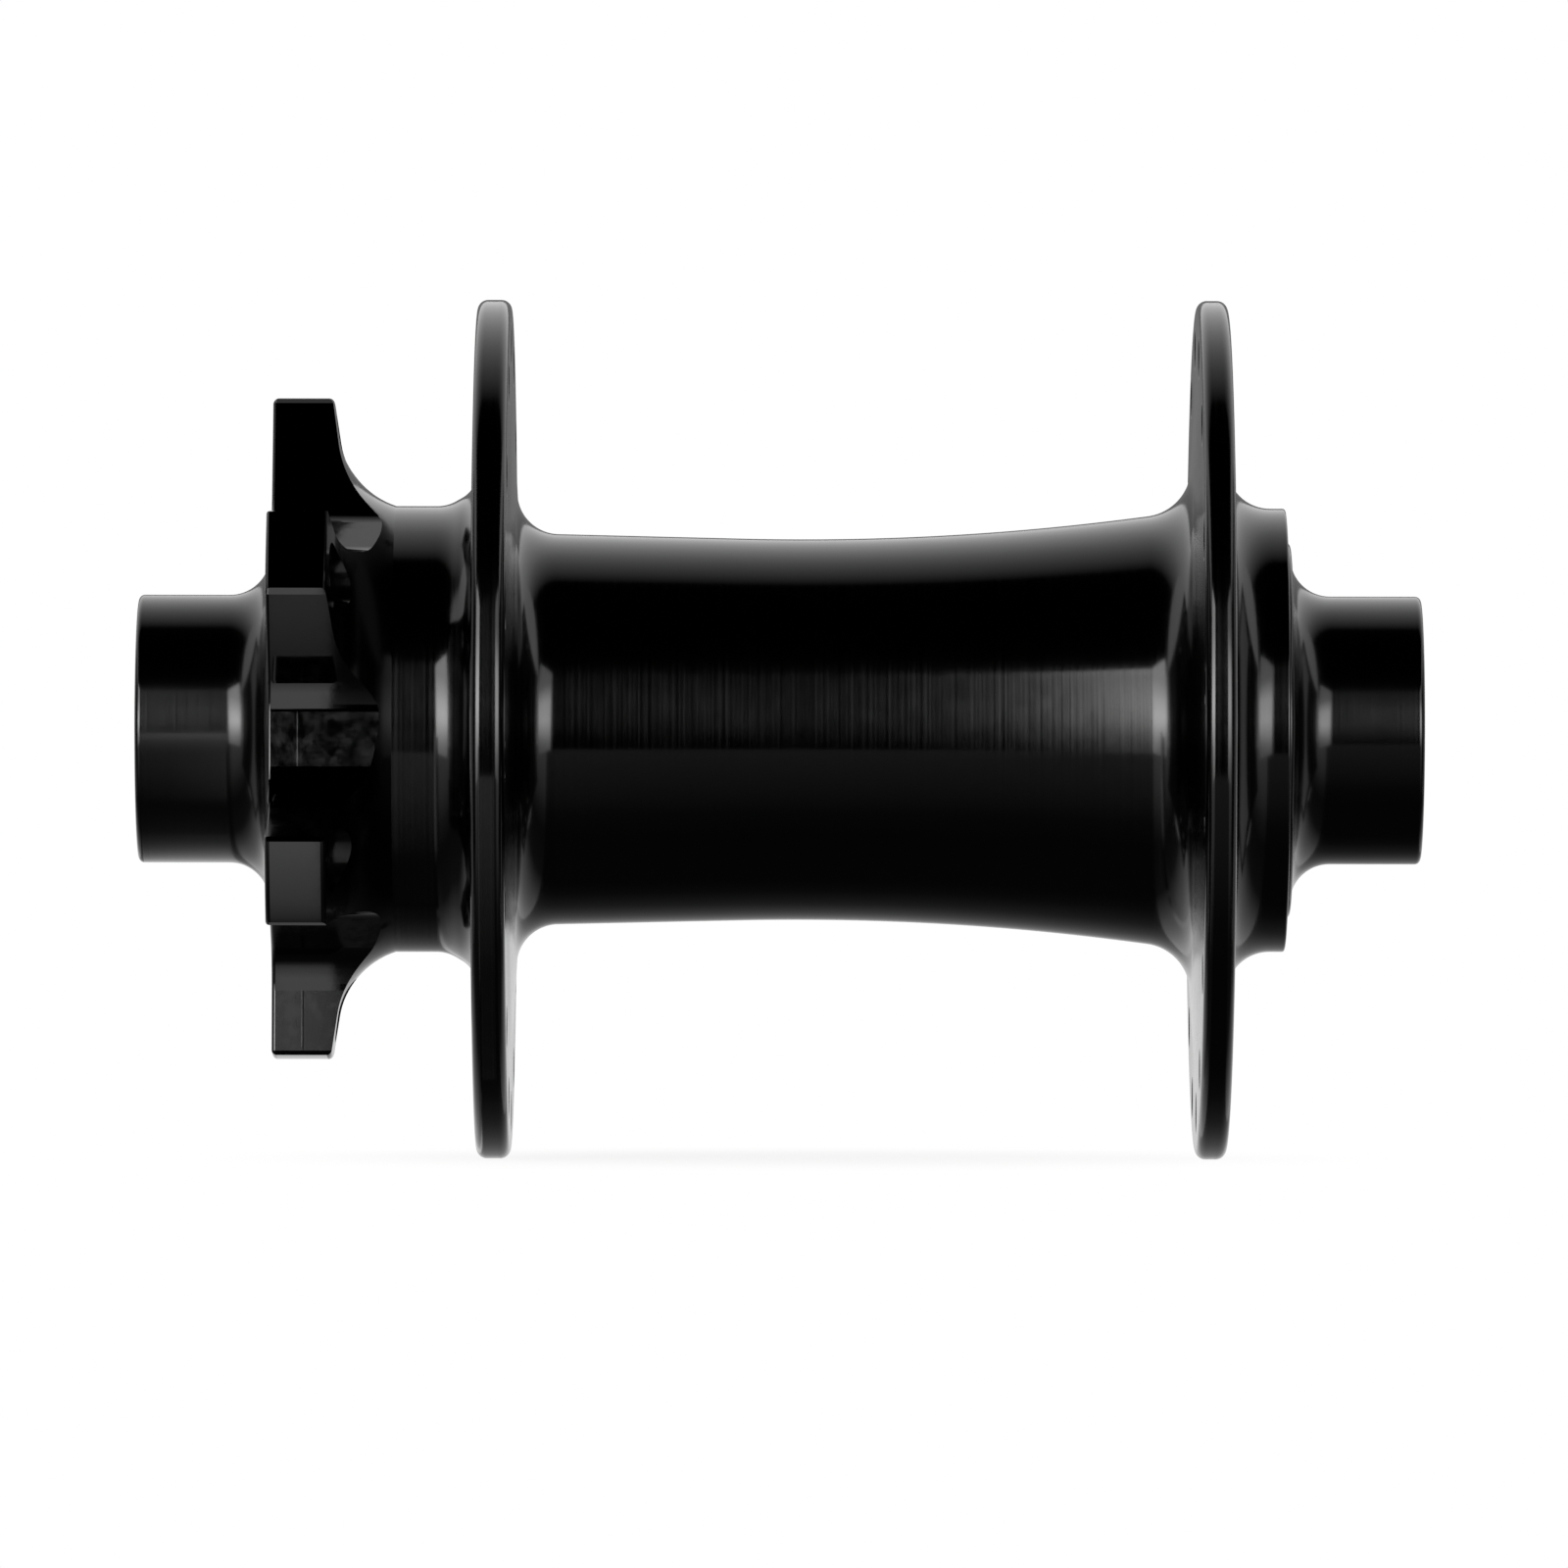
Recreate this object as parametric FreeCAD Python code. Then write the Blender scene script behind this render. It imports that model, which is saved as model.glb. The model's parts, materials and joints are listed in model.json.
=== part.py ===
import FreeCAD, Part

import math
import os

from FreeCAD import Vector

# Front hub for a 15 mm thru axle and a six-bolt brake rotor. All sizes are in millimetres and degrees.
# The axle lies along Y with the rotor at the +Y end, Z is up and X is across.
# The origin is on the axle's centre line, midway between the faces that the fork clamps.

# Fork and thru axle
fork_gap = 100.0
axle_bore_radius = 7.55

# End caps, which plug into the fork
cap_nose_wall = 2.9
cap_nose_sweep = 3.13
cap_edge_round = 0.45
cap_bore_chamfer = 0.4
cap_flange_thickness = 1.1
cap_flange_clearance = 0.3
cap_boss_length = 1.1
cap_boss_wall = 1.15
cap_socket_clearance = 0.02

# O-ring in each cap, gripping the axle tube
oring_section_radius = 0.75
oring_groove_width = 1.9
oring_set_back = 2.5
oring_clearance = 0.01

# Dust seal on each cap, wiping the mouth of the shell
dust_seal_thickness = 0.7
dust_seal_body_height = 2.3
dust_lip_thickness = 0.35
dust_lip_clearance = 0.1

# Axle tube
axle_journal_wall = 0.95
axle_end_inset = 5.0
axle_end_gap = 0.2
axle_collar_height = 1.2
axle_collar_length = 6.6
axle_middle_wall = 1.35
axle_edge_chamfer = 0.3

# Cartridge bearings, 17 by 30 by 7
bearing_section = 6.5
bearing_width = 7.0
bearing_depth = 1.9
bearing_edge_chamfer = 0.3
ball_count = 11
ball_clearance = 0.01
raceway_wall = 1.2555
raceway_depth = 0.5445
raceway_conformity = 1.04
seal_land_height = 1.45
seal_thickness = 0.5
seal_inset = 0.1
seal_seat_height = 1.1
seal_lip_clearance = 0.06
cage_radial_clearance = 0.3
cage_seal_clearance = 0.2
cage_finger_height = 0.9
cage_pocket_clearance = 0.075
cage_slot_width = 1.0
cage_slot_floor = 0.7

# Shell: bearing seats and cavity
seat_lip_chamfer = 0.25
seat_shoulder_height = 2.0
seat_shoulder_length = 3.6
cavity_taper_length = 1.5
body_wall = 2.3

# Shell: barrel between the flanges
body_disc_radius = 15.3
body_plain_wall = 2.1
waist_radius = 14.56
waist_offset = -12.1
waist_blend = 200.0
body_root_round = 3.9

# Shell: spoke flanges
flange_radius = 33.5
flange_thickness = 2.65
disc_flange_inset = 27.725
plain_flange_inset = 16.475
flange_rim_round = 0.8
flange_dish = 0.6
flange_dish_radius = 26.0
spokes_per_flange = 16
spoke_edge_distance = 3.5
spoke_turn = 27.3
spoke_hole_radius = 1.3
spoke_hole_chamfer = 0.35

# Shell: plain end
plain_end_inset = 10.6
housing_wall = 2.3
housing_root_round = 3.4

# Shell: rotor mount
rotor_face_inset = 10.5
neck_wall = 2.4
neck_root_round = 2.6
tab_count = 6
tab_turn = 27.6
tab_width = 7.6
tab_flank_slant = 20.8
tab_tip_distance = 3.8
tab_thickness = 4.65
tab_back_slope = 8.8
tab_root_round = 5.5
tab_tip_round = 0.4
tab_edge_chamfer = 0.25
tab_foot_reach = 4.85
tab_foot_slope = 16.0
tab_foot_round = 1.8
valley_floor_step = 0.06
valley_corner_round = 3.0
rotor_bolt_circle_radius = 22.0
rotor_bolt_hole_radius = 2.1
rotor_bolt_hole_chamfer = 0.4

# Distances that follow from the sizes above, measured along Y from the hub's centre
cap_face = fork_gap / 2
rotor_face = cap_face - rotor_face_inset
plain_end = cap_face - plain_end_inset
bearing_face = rotor_face - bearing_depth
bearing_back = bearing_face - bearing_width
bearing_middle = bearing_face - bearing_width / 2
cap_flange_back = bearing_face + cap_boss_length
cap_flange_face = cap_flange_back + cap_flange_thickness
axle_end = cap_face - axle_end_inset
oring_middle = bearing_face + oring_set_back
disc_flange_outer = cap_face - disc_flange_inset + flange_thickness / 2
disc_flange_inner = disc_flange_outer - flange_thickness
tab_back = rotor_face - tab_thickness
tab_foot = tab_back - tab_foot_reach
behind_tabs = (disc_flange_outer + tab_back) / 2
plain_flange_outer = -cap_face + plain_flange_inset - flange_thickness / 2
plain_flange_inner = plain_flange_outer + flange_thickness

# Radii that follow from the sizes above
cap_nose_radius = axle_bore_radius + cap_nose_wall
bearing_bore_radius = axle_bore_radius + axle_journal_wall
bearing_outer_radius = bearing_bore_radius + bearing_section
pitch_radius = bearing_bore_radius + bearing_section / 2
ball_radius = bearing_section / 2 - raceway_wall - ball_clearance
raceway_radius = ball_radius * raceway_conformity
inner_land_radius = bearing_bore_radius + raceway_wall + raceway_depth
outer_land_radius = bearing_outer_radius - raceway_wall - raceway_depth
seal_land_radius = bearing_bore_radius + seal_land_height
seal_seat_radius = bearing_outer_radius - seal_seat_height
cap_socket_radius = bearing_bore_radius + cap_socket_clearance
cap_boss_radius = cap_socket_radius + cap_boss_wall
cap_flange_radius = bearing_outer_radius - cap_flange_clearance
neck_radius = bearing_outer_radius + neck_wall
housing_radius = bearing_outer_radius + housing_wall
valley_floor_radius = neck_radius + valley_floor_step
tab_tip_radius = rotor_bolt_circle_radius + tab_tip_distance
spoke_circle_radius = flange_radius - spoke_edge_distance
body_plain_radius = bearing_outer_radius + body_plain_wall
cavity_radius = waist_radius - body_wall
seat_shoulder_radius = bearing_outer_radius - seat_shoulder_height
axle_collar_radius = bearing_bore_radius + axle_collar_height
axle_middle_radius = axle_bore_radius + axle_middle_wall

centre = Vector(0, 0, 0)
axle_line = Vector(0, 1, 0)
edge_share = 0.98
cut_margin = 1.0
touch = 1e-4


def around(angle, radius, y):
    """The point at this distance from the axle line, turned from +X towards +Z."""
    turn = math.radians(angle)
    return Vector(radius * math.cos(turn), y, radius * math.sin(turn))


def spun(shape, angle):
    copy = shape.copy()
    copy.rotate(centre, -axle_line, angle)
    return copy


def outline(corners):
    """Closed wire through corners of (y, radius, rounding), each rounded by an arc tangent to both its edges."""
    points = [Vector(radius, y, 0) for y, radius, rounding in corners]
    count = len(points)
    reach = []
    half_angle = []
    for i in range(count):
        before = points[i - 1] - points[i]
        after = points[(i + 1) % count] - points[i]
        half = before.getAngle(after) / 2
        half_angle.append(half)
        reach.append(corners[i][2] / math.tan(half))
    factor = [1.0] * count
    for i in range(count):
        j = (i + 1) % count
        room = edge_share * points[i].distanceToPoint(points[j])
        if reach[i] + reach[j] > room:
            factor[i] = min(factor[i], room / (reach[i] + reach[j]))
            factor[j] = min(factor[j], room / (reach[i] + reach[j]))
    edges = []
    starts = []
    ends = []
    for i in range(count):
        before = (points[i - 1] - points[i]).normalize()
        after = (points[(i + 1) % count] - points[i]).normalize()
        length = reach[i] * factor[i]
        starts.append(points[i] + before * length)
        ends.append(points[i] + after * length)
    for i in range(count):
        length = reach[i] * factor[i]
        if length > 0:
            radius = length * math.tan(half_angle[i])
            middle_way = (starts[i] + ends[i] - points[i] * 2).normalize()
            middle = points[i] + middle_way * (radius / math.sin(half_angle[i]) - radius)
            edges.append(Part.Arc(starts[i], middle, ends[i]).toShape())
        j = (i + 1) % count
        if ends[i].distanceToPoint(starts[j]) > touch:
            edges.append(Part.LineSegment(ends[i], starts[j]).toShape())
    return Part.Wire(edges)


def turned(corners):
    """A solid turned about the axle line from corners of (y, radius, rounding)."""
    solid = Part.Face(outline(corners)).revolve(centre, axle_line, 360)
    if solid.Volume < 0:
        solid.reverse()
    return solid


def on_side(side, corners):
    """The corners of a piece drawn for the rotor's end, moved to the end that side names."""
    return [(side * y, radius, rounding) for y, radius, rounding in corners]


def hole(angle, radius, low, high, hole_radius, chamfer, faces):
    """A round cutter parallel to the axle line, with a countersink at each of the listed faces."""
    cutter = Part.makeCylinder(hole_radius, high - low, around(angle, radius, low), axle_line)
    for face, way in faces:
        wide = hole_radius + chamfer + cut_margin
        deep = chamfer + cut_margin
        start = around(angle, radius, face + way * cut_margin)
        cutter = cutter.fuse(Part.makeCone(wide, hole_radius, deep, start, axle_line * -way))
    return cutter


def shell_blank():
    dish = flange_dish
    back_slope = math.tan(math.radians(tab_back_slope))
    foot_slope = math.tan(math.radians(tab_foot_slope))
    tab_root = tab_back - (tab_tip_radius - neck_radius) * back_slope
    root_height = foot_slope * (tab_root - tab_foot) / (1 - foot_slope * back_slope)
    lip = seat_lip_chamfer
    return turned([
        (rotor_face, bearing_outer_radius + lip, 0),
        (rotor_face, tab_tip_radius, tab_tip_round),
        (tab_back, tab_tip_radius, tab_tip_round),
        (tab_root + root_height * back_slope, neck_radius + root_height, tab_root_round),
        (tab_foot, neck_radius, tab_foot_round),
        (disc_flange_outer, neck_radius, neck_root_round),
        (disc_flange_outer, flange_radius, flange_rim_round),
        (disc_flange_inner, flange_radius, flange_rim_round),
        (disc_flange_inner, flange_dish_radius, 0),
        (disc_flange_inner - dish, body_disc_radius, body_root_round),
        (waist_offset, waist_radius, waist_blend),
        (plain_flange_inner + dish, body_plain_radius, body_root_round),
        (plain_flange_inner, flange_dish_radius, 0),
        (plain_flange_inner, flange_radius, flange_rim_round),
        (plain_flange_outer, flange_radius, flange_rim_round),
        (plain_flange_outer, housing_radius, housing_root_round),
        (-plain_end, housing_radius, 0),
        (-plain_end, bearing_outer_radius + lip, 0),
        (-plain_end + lip, bearing_outer_radius, 0),
        (-bearing_back, bearing_outer_radius, 0),
        (-bearing_back, seat_shoulder_radius, 0),
        (-bearing_back + seat_shoulder_length, seat_shoulder_radius, 0),
        (-bearing_back + seat_shoulder_length + cavity_taper_length, cavity_radius, 0),
        (bearing_back - seat_shoulder_length - cavity_taper_length, cavity_radius, 0),
        (bearing_back - seat_shoulder_length, seat_shoulder_radius, 0),
        (bearing_back, seat_shoulder_radius, 0),
        (bearing_back, bearing_outer_radius, 0),
        (rotor_face - lip, bearing_outer_radius, 0),
    ])


def valley_cutter(angle):
    """Prism that clears the gap between two rotor tabs, with rounds where its flat floor meets their flanks.
    One flank is parallel to its own tab, the other slants out from its tab's tip corner to a wider root.
    The outline's corners are (distance across the gap, distance out from the axle line, rounding)."""
    half_pitch = math.pi / tab_count
    half_width = tab_width / 2
    tip_along = math.sqrt(tab_tip_radius ** 2 - half_width ** 2)
    tip_out = tip_along * math.cos(half_pitch) + half_width * math.sin(half_pitch)
    tip_across = tip_along * math.sin(half_pitch) - half_width * math.cos(half_pitch)
    slant = half_pitch + math.radians(tab_flank_slant)
    floor = valley_floor_radius
    outer = tab_tip_radius + cut_margin

    def straight_flank(out):
        return half_width / math.cos(half_pitch) - out * math.tan(half_pitch)

    def slanted_flank(out):
        return tip_across + (out - tip_out) * math.tan(slant)

    face = Part.Face(outline([
        (straight_flank(outer), outer, 0),
        (straight_flank(floor), floor, valley_corner_round),
        (slanted_flank(floor), floor, valley_corner_round),
        (slanted_flank(outer), outer, 0),
    ]))
    face.rotate(centre, Vector(1, 0, 0), -90)
    prism = face.extrude(axle_line * (rotor_face + cut_margin - behind_tabs))
    prism.translate(axle_line * behind_tabs)
    return spun(prism, angle)


def break_tab_edges(shell):
    """Chamfers the outline of the star on the rotor's seat, and not the round mouth within it."""
    edges = []
    for edge in shell.Edges:
        box = edge.BoundBox
        on_face = abs(box.YMin - rotor_face) < touch and abs(box.YMax - rotor_face) < touch
        from_axis = edge.CenterOfMass.distanceToLine(centre, axle_line)
        if on_face and from_axis > bearing_outer_radius:
            edges.append(edge)
    return shell.makeChamfer(tab_edge_chamfer, edges)


def hub_shell():
    shell = shell_blank()
    tab_pitch = 360.0 / tab_count
    for i in range(tab_count):
        shell = shell.cut(valley_cutter(tab_turn + (i + 0.5) * tab_pitch))
    shell = break_tab_edges(shell)
    for i in range(tab_count):
        shell = shell.cut(hole(tab_turn + i * tab_pitch, rotor_bolt_circle_radius, behind_tabs,
                               rotor_face + cut_margin, rotor_bolt_hole_radius, rotor_bolt_hole_chamfer,
                               [(rotor_face, 1)]))
    spoke_pitch = 360.0 / spokes_per_flange
    for low, high, start in ((disc_flange_inner, disc_flange_outer, spoke_turn),
                             (plain_flange_outer, plain_flange_inner, spoke_turn + spoke_pitch / 2)):
        for i in range(spokes_per_flange):
            angle = start + i * spoke_pitch
            shell = shell.cut(hole(angle, spoke_circle_radius, low - cut_margin, high + cut_margin,
                                   spoke_hole_radius, spoke_hole_chamfer, [(low, -1), (high, 1)]))
    return shell


def axle_tube():
    chamfer = axle_edge_chamfer
    half = []
    half.append((axle_end, axle_bore_radius, 0))
    half.append((axle_end, bearing_bore_radius - chamfer, 0))
    half.append((axle_end - chamfer, bearing_bore_radius, 0))
    half.append((bearing_back, bearing_bore_radius, 0))
    half.append((bearing_back, axle_collar_radius, 0))
    half.append((bearing_back - axle_collar_length, axle_collar_radius, 0))
    half.append((bearing_back - axle_collar_length, axle_middle_radius, 0))
    return turned(half + on_side(-1, half[::-1]))


def end_cap(side):
    groove_low = oring_middle - oring_groove_width / 2
    groove_high = oring_middle + oring_groove_width / 2
    groove_radius = bearing_bore_radius + 2 * oring_section_radius
    chamfer = cap_bore_chamfer
    return turned(on_side(side, [
        (cap_face, axle_bore_radius + chamfer, 0),
        (cap_face, cap_nose_radius, cap_edge_round),
        (cap_flange_face, cap_nose_radius, cap_nose_sweep),
        (cap_flange_face, cap_flange_radius, cap_edge_round),
        (cap_flange_back, cap_flange_radius, 0),
        (cap_flange_back, cap_boss_radius, 0),
        (bearing_face, cap_boss_radius, 0),
        (bearing_face, cap_socket_radius, 0),
        (groove_low, cap_socket_radius, 0),
        (groove_low, groove_radius, 0),
        (groove_high, groove_radius, 0),
        (groove_high, cap_socket_radius, 0),
        (axle_end + axle_end_gap, cap_socket_radius, 0),
        (axle_end + axle_end_gap, axle_bore_radius, 0),
        (cap_face - chamfer, axle_bore_radius, 0),
    ]))


def cap_oring(side):
    ring_radius = bearing_bore_radius + oring_section_radius
    section = oring_section_radius - oring_clearance
    return Part.makeTorus(ring_radius, section, axle_line * (side * oring_middle), axle_line)


def dust_seal(side):
    body_radius = cap_boss_radius + dust_seal_body_height
    lip_radius = bearing_outer_radius - dust_lip_clearance
    front = cap_flange_back - dust_seal_thickness
    return turned(on_side(side, [
        (cap_flange_back, cap_boss_radius, 0),
        (cap_flange_back, body_radius, 0),
        (cap_flange_back, lip_radius, 0),
        (cap_flange_back - dust_lip_thickness, lip_radius, 0),
        (cap_flange_back - dust_lip_thickness, body_radius, 0),
        (front, body_radius, 0),
        (front, cap_boss_radius, 0),
    ]))


def raceway(side, groove_centre_radius):
    return Part.makeTorus(groove_centre_radius, raceway_radius, axle_line * (side * bearing_middle), axle_line)


def bearing_inner_ring(side):
    chamfer = bearing_edge_chamfer
    seal_depth = seal_inset + seal_thickness
    blank = turned(on_side(side, [
        (bearing_face, bearing_bore_radius + chamfer, 0),
        (bearing_face, seal_land_radius, 0),
        (bearing_face - seal_depth, seal_land_radius, 0),
        (bearing_face - seal_depth, inner_land_radius, 0),
        (bearing_back + seal_depth, inner_land_radius, 0),
        (bearing_back + seal_depth, seal_land_radius, 0),
        (bearing_back, seal_land_radius, 0),
        (bearing_back, bearing_bore_radius + chamfer, 0),
        (bearing_back + chamfer, bearing_bore_radius, 0),
        (bearing_face - chamfer, bearing_bore_radius, 0),
    ]))
    return blank.cut(raceway(side, bearing_bore_radius + raceway_wall + raceway_radius))


def bearing_outer_ring(side):
    chamfer = bearing_edge_chamfer
    seal_depth = seal_inset + seal_thickness
    blank = turned(on_side(side, [
        (bearing_face, bearing_outer_radius - chamfer, 0),
        (bearing_face - chamfer, bearing_outer_radius, 0),
        (bearing_back + chamfer, bearing_outer_radius, 0),
        (bearing_back, bearing_outer_radius - chamfer, 0),
        (bearing_back, seal_seat_radius, 0),
        (bearing_back + seal_depth, seal_seat_radius, 0),
        (bearing_back + seal_depth, outer_land_radius, 0),
        (bearing_face - seal_depth, outer_land_radius, 0),
        (bearing_face - seal_depth, seal_seat_radius, 0),
        (bearing_face, seal_seat_radius, 0),
    ]))
    return blank.cut(raceway(side, bearing_outer_radius - raceway_wall - raceway_radius))


def bearing_balls(side):
    balls = []
    for i in range(ball_count):
        place = around(i * 360.0 / ball_count, pitch_radius, side * bearing_middle)
        balls.append(Part.makeSphere(ball_radius, place))
    return Part.Compound(balls)


def bearing_cage(side):
    """Crown cage: a ring behind the balls, with a pair of fingers round each one."""
    back = seal_inset + seal_thickness + cage_seal_clearance - bearing_width / 2
    low = inner_land_radius + cage_radial_clearance
    high = outer_land_radius - cage_radial_clearance
    cage = turned([
        (back, low, 0),
        (back, high, 0),
        (cage_finger_height, high, 0),
        (cage_finger_height, low, 0),
    ])
    pocket = Part.makeCylinder(ball_radius + cage_pocket_clearance, bearing_outer_radius, centre, Vector(1, 0, 0))
    slot_depth = cage_finger_height + cut_margin + cage_slot_floor
    corner = Vector(0, -cage_slot_floor, -cage_slot_width / 2)
    slot = Part.makeBox(bearing_outer_radius, slot_depth, cage_slot_width, corner)
    pitch = 360.0 / ball_count
    for i in range(ball_count):
        cage = cage.cut(spun(pocket, i * pitch))
        cage = cage.cut(spun(slot, (i + 0.5) * pitch))
    if side < 0:
        cage = cage.mirror(centre, axle_line)
    cage.translate(axle_line * (side * bearing_middle))
    return cage


def bearing_seal(side, outboard):
    """Washer seated in the outer ring, its inner lip just clear of the inner ring."""
    if outboard:
        face = bearing_face - seal_inset
    else:
        face = bearing_back + seal_inset + seal_thickness
    return turned(on_side(side, [
        (face, seal_land_radius + seal_lip_clearance, 0),
        (face, seal_seat_radius, 0),
        (face - seal_thickness, seal_seat_radius, 0),
        (face - seal_thickness, seal_land_radius + seal_lip_clearance, 0),
    ]))


def save(name, shape):
    shape.exportStep("parts/" + name + ".step")
    print("%-32s %2d solid(s) %10.2f mm3" % (name, len(shape.Solids), shape.Volume))


os.makedirs("parts", exist_ok=True)
save("hub_shell", hub_shell())
save("axle_tube", axle_tube())
for end, side in (("disc_side", 1), ("plain_side", -1)):
    save(end + "_end_cap", end_cap(side))
    save(end + "_cap_oring", cap_oring(side))
    save(end + "_dust_seal", dust_seal(side))
    save(end + "_bearing_inner_ring", bearing_inner_ring(side))
    save(end + "_bearing_outer_ring", bearing_outer_ring(side))
    save(end + "_bearing_balls", bearing_balls(side))
    save(end + "_bearing_cage", bearing_cage(side))
    save(end + "_bearing_outboard_seal", bearing_seal(side, True))
    save(end + "_bearing_inboard_seal", bearing_seal(side, False))
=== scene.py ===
import json
import math
import bmesh
import bpy
from mathutils import Matrix, Vector


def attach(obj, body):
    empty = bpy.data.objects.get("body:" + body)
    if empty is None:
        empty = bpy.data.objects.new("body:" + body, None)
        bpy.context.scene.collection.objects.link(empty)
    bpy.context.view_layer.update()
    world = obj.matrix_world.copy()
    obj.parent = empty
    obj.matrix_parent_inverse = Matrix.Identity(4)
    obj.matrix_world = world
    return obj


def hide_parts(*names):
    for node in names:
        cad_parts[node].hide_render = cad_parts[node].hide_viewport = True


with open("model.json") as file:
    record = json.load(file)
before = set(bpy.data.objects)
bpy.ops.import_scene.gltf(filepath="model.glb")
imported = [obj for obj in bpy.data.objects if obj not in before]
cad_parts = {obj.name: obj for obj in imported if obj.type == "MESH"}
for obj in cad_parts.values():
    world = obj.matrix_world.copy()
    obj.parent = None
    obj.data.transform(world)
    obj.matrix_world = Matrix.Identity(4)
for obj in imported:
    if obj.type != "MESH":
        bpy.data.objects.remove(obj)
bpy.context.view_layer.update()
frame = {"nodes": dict(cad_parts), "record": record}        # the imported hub: bodies, nodes, joints and record
print("frame loaded,", len(frame["nodes"]), "nodes")

mm = 0.001
mergeDistance = 0.0005 * mm        # points nearer to each other than this are one
discSide, plainSide = 1, -1        # which way each end lies along Y


# sRGB hex to the linear colour that the shaders want
def linear(hexText):
    parts = [int(hexText[i:i + 2], 16) / 255 for i in (1, 3, 5)]
    return tuple(c / 12.92 if c <= 0.04045 else ((c + 0.055) / 1.055) ** 2.4 for c in parts) + (1.0,)


# adds any node, sets its settings and sockets, and links other nodes' outputs into it
def addNode(tree, kind, settings={}, values={}, links={}):
    node = tree.nodes.new(kind)
    for name, value in settings.items():
        setattr(node, name, value)
    for name, value in values.items():
        node.inputs[name].default_value = value
    for name, output in links.items():
        tree.links.new(output, node.inputs[name])
    return node


def newMaterial(name):
    material = bpy.data.materials.new(name)
    material.use_nodes = True
    material.node_tree.nodes.clear()
    return material, material.node_tree


def surface(tree, shader):
    addNode(tree, "ShaderNodeOutputMaterial", links={"Surface": shader.outputs[0]})


# Black anodised aluminium, a dye under a sealed oxide: a dark mirror that goes white at grazing angles. The
# lathe's rings smear reflections along the axle and, with the smudges of handling, break them into streaks.
# They are drawn coarser than the real feed of about 0.1 mm, so that they show.
def anodisedAluminium(name, look):
    material, tree = newMaterial(name)
    place = addNode(tree, "ShaderNodeTexCoord").outputs["Object"]
    axes = addNode(tree, "ShaderNodeSeparateXYZ", links={0: place})
    rings = addNode(tree, "ShaderNodeTexNoise", {"noise_dimensions": "1D"},
                    {"Scale": 1 / (look["ringSpacing"] * mm), "Detail": 3.0, "Roughness": 0.65},
                    {"W": axes.outputs["Y"]})
    smudges = addNode(tree, "ShaderNodeTexNoise", {},
                      {"Scale": 1 / (look["smudgeSize"] * mm), "Detail": 4.0, "Roughness": 0.6},
                      {"Vector": place})
    tangent = addNode(tree, "ShaderNodeTangent", {"direction_type": "RADIAL", "axis": "Y"})
    ringShare = 2.0                    # the rings wear the surface twice as much as the smudges do
    leastWear, mostWear = 1.1, 1.9     # what the two patterns together span
    wear = addNode(tree, "ShaderNodeMath", {"operation": "MULTIPLY_ADD"}, {1: ringShare},
                   {0: rings.outputs["Fac"], 2: smudges.outputs["Fac"]})
    rough = addNode(tree, "ShaderNodeMapRange", {},
                    {"From Min": leastWear, "From Max": mostWear, "To Min": look["roughness"],
                     "To Max": look["roughness"] + look["roughnessSpread"]},
                    {"Value": wear.outputs[0]})
    bump = addNode(tree, "ShaderNodeBump", {},
                   {"Strength": 1.0, "Distance": look["ringDepth"] * mm},
                   {"Height": rings.outputs["Fac"]})
    quarterTurn = 0.25                 # smears across the rings, not along them
    shader = addNode(tree, "ShaderNodeBsdfPrincipled", {},
                     {"Base Color": linear(look["colour"]), "Metallic": 1.0,
                      "Anisotropic": look["anisotropy"], "Anisotropic Rotation": quarterTurn},
                     {"Roughness": rough.outputs["Result"], "Normal": bump.outputs["Normal"],
                      "Tangent": tangent.outputs["Tangent"]})
    surface(tree, shader)
    return material


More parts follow.
